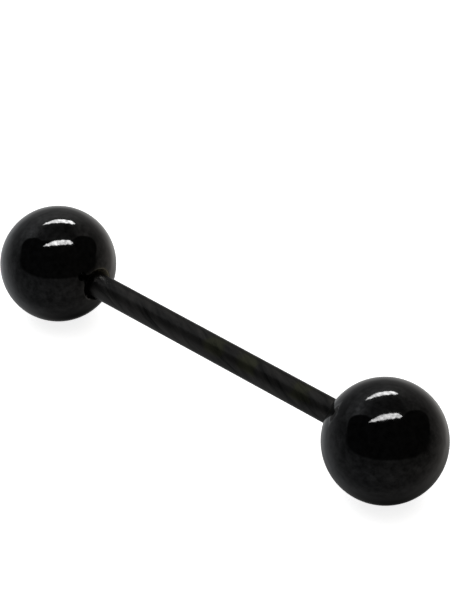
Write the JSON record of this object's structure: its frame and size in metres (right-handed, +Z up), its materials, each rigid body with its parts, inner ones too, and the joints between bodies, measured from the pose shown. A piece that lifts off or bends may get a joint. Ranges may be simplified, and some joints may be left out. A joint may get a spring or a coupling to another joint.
{
  "type": "tongue barbell",
  "caption": "Straight tongue barbell: a slim round steel bar with a threaded stud at each end and a mirror-polished black ball screwed on each stud.",
  "frame": {"origin": "under the middle of the bar, on the surface that both balls rest on", "axes": "+X along the bar to the right ball, +Z up"},
  "size_m": [0.028, 0.006, 0.006],
  "materials": {
    "bar_coating": "satin black PVD coating on surgical steel, with fine spiral polishing marks",
    "ball_coating": "mirror-polished black PVD coating on surgical steel"
  },
  "bodies": {
    "bar": {"bar": "bar_coating"},
    "left_ball": {"left_ball": "ball_coating"},
    "right_ball": {"right_ball": "ball_coating"}
  },
  "joints": [
    {"name": "left_ball_unscrew", "type": "slide", "parent": "bar", "child": "left_ball", "axis": [-1, 0, 0], "range_m": [0, 0.02]},
    {"name": "right_ball_unscrew", "type": "slide", "parent": "bar", "child": "right_ball", "axis": [1, 0, 0], "range_m": [0, 0.02]}
  ]
}
